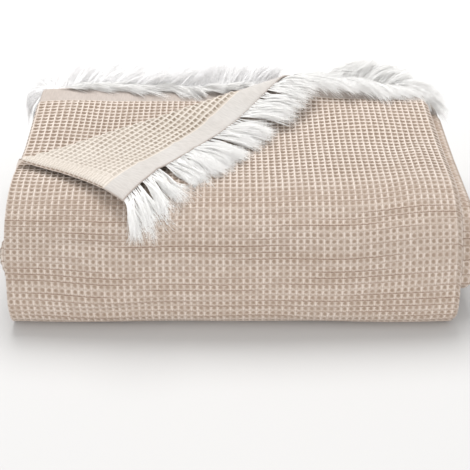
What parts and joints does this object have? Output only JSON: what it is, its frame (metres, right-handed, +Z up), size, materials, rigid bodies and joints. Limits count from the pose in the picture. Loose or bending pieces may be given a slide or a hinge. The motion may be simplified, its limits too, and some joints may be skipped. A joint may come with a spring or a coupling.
{
  "type": "folded waffle weave cotton blanket",
  "caption": "Fringed waffle weave cotton blanket, folded into a flat stack with the corner of its top layer turned over and its fringes hanging free.",
  "frame": {"origin": "middle of the bounding box in X and Y, on the surface the blanket lies on", "axes": "+X towards the blanket's right, +Y towards the back with the fringes, +Z up"},
  "size_m": [0.4525, 0.3214, 0.1521],
  "materials": {
    "waffle_cotton": "soft matt waffle weave",
    "fringe_cotton": "soft matt yarn"
  },
  "bodies": {
    "root": {"blanket": "waffle_cotton", "fringe_upper": "fringe_cotton", "fringe_lower": "fringe_cotton"}
  },
  "joints": []
}
